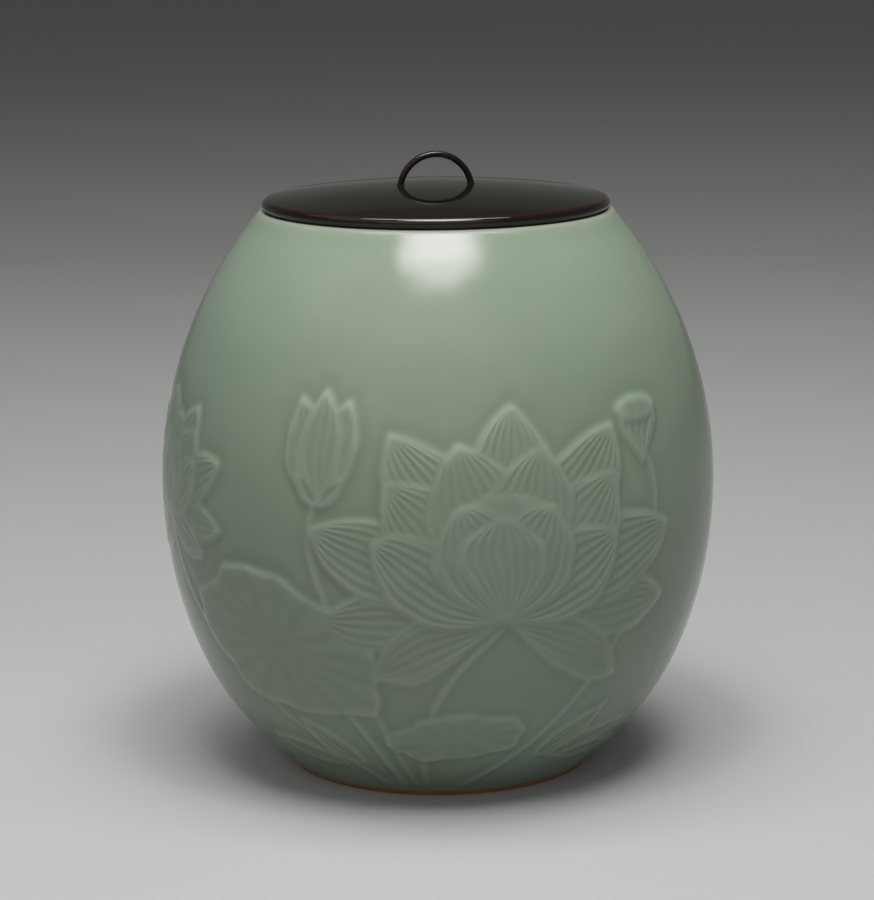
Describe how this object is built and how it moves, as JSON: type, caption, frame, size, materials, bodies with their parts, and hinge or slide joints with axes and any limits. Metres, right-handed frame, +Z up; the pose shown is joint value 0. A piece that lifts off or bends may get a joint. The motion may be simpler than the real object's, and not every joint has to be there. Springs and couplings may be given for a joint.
{
  "type": "lidded water jar",
  "caption": "Ovoid glazed porcelain water jar on a low foot, with a domed lacquered wooden lid that lifts off by its arched loop knob.",
  "frame": {"origin": "centre of the foot's standing face", "axes": "+Z up the jar's axis, +X along the span of the knob's loop, so the loop is seen full width from -Y or +Y"},
  "size_m": [0.19, 0.19, 0.2115],
  "materials": {
    "glaze": "soft grey-green celadon glaze, glossy",
    "lid_lacquer": "turned wood under dark brown-black lacquer, polished",
    "ring_lacquer": "wood under dark brown lacquer, satin",
    "knob_lacquer": "bent wood strip under dark red-brown lacquer, polished"
  },
  "bodies": {
    "jar": {"jar_body": "glaze"},
    "lid": {"lid_board": "lid_lacquer", "lid_seat_ring": "ring_lacquer", "knob_loop": "knob_lacquer"}
  },
  "joints": [
    {"name": "lid_lift", "type": "slide", "parent": "jar", "child": "lid", "axis": [0, 0, 1], "range_m": [0, 0.12]}
  ]
}
